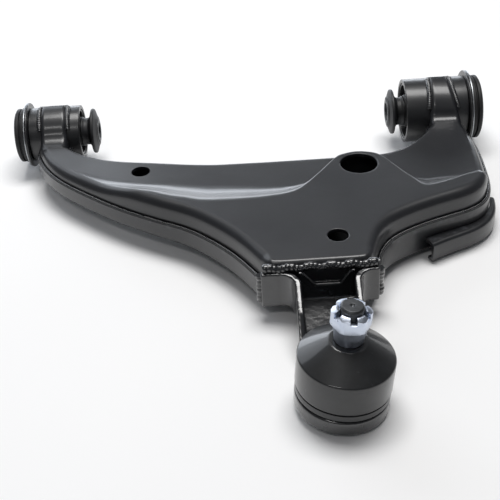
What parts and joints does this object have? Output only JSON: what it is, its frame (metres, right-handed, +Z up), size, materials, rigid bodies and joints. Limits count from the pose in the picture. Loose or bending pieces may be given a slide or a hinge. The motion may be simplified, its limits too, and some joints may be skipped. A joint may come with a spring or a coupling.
{
  "type": "lower control arm",
  "caption": "Welded pressed-steel lower control arm with two rubber pivot bushes at the back and a booted ball joint with a slotted nut at the nose.",
  "frame": {"origin": "middle of the whole arm in plan, on the plane that its lowest points touch", "axes": "+X along the pivot axis towards the front (larger) bush, +Y from the ball joint towards the pivot axis, +Z up, the way the ball stud points"},
  "size_m": [0.429, 0.4074, 0.0861],
  "materials": {
    "paint": "satin black cathodic paint",
    "can_steel": "bare rolled steel, thin oil film",
    "sleeve_steel": "phosphated turned steel",
    "stud_steel": "ground and turned steel",
    "zinc": "bright blue-passivated zinc plate",
    "rubber": "moulded black natural rubber",
    "boot": "smooth black moulded rubber",
    "plastic": "moulded acetal bearing"
  },
  "bodies": {
    "arm": {"upper_shell": "paint", "lower_shell": "paint", "side_bracket": "paint", "ball_joint_carrier": "paint", "ball_joint_housing": "paint", "front_bush_tube": "paint", "rear_bush_tube": "paint", "front_outer_can": "can_steel", "rear_outer_can": "can_steel", "front_rubber": "rubber", "rear_rubber": "rubber", "front_bumper_ring": "rubber", "rear_bumper_ring": "rubber", "closure_plate": "zinc", "preload_washer": "stud_steel", "snap_ring": "stud_steel", "dust_boot": "boot", "boot_clamp_ring": "paint"},
    "swing": {"bearing_liner": "plastic"},
    "lean": {"swivel_bearing": "plastic", "boot_collar_ring": "stud_steel"},
    "stud": {"ball_stud": "stud_steel", "castle_nut": "zinc"},
    "front_core": {"front_inner_sleeve": "sleeve_steel", "front_stopper_disc": "rubber"},
    "rear_core": {"rear_inner_sleeve": "sleeve_steel", "rear_stopper_disc": "rubber"}
  },
  "joints": [
    {"name": "stud_swing", "type": "hinge", "parent": "arm", "child": "swing", "pos_m": [0.04986, -0.17125, 0.02143], "axis": [1, 0, 0], "range_deg": [-20, 20], "deforming": ["dust_boot"]},
    {"name": "stud_lean", "type": "hinge", "parent": "swing", "child": "lean", "pos_m": [0.04986, -0.17125, 0.02143], "axis": [0, 1, 0], "range_deg": [-10, 10], "deforming": ["dust_boot"]},
    {"name": "stud_spin", "type": "hinge", "parent": "lean", "child": "stud", "pos_m": [0.04986, -0.17125, 0.02143], "axis": [0.0872, 0, 0.9962], "range_deg": [-40, 40]},
    {"name": "front_bush_twist", "type": "hinge", "parent": "arm", "child": "front_core", "pos_m": [0.17165, 0.16975, 0.034], "axis": [1, 0, 0], "range_deg": [-25, 25], "stiffness_Nm_per_rad": 0.5},
    {"name": "rear_bush_twist", "type": "hinge", "parent": "arm", "child": "rear_core", "pos_m": [-0.17665, 0.16975, 0.034], "axis": [1, 0, 0], "range_deg": [-25, 25], "stiffness_Nm_per_rad": 0.5}
  ]
}
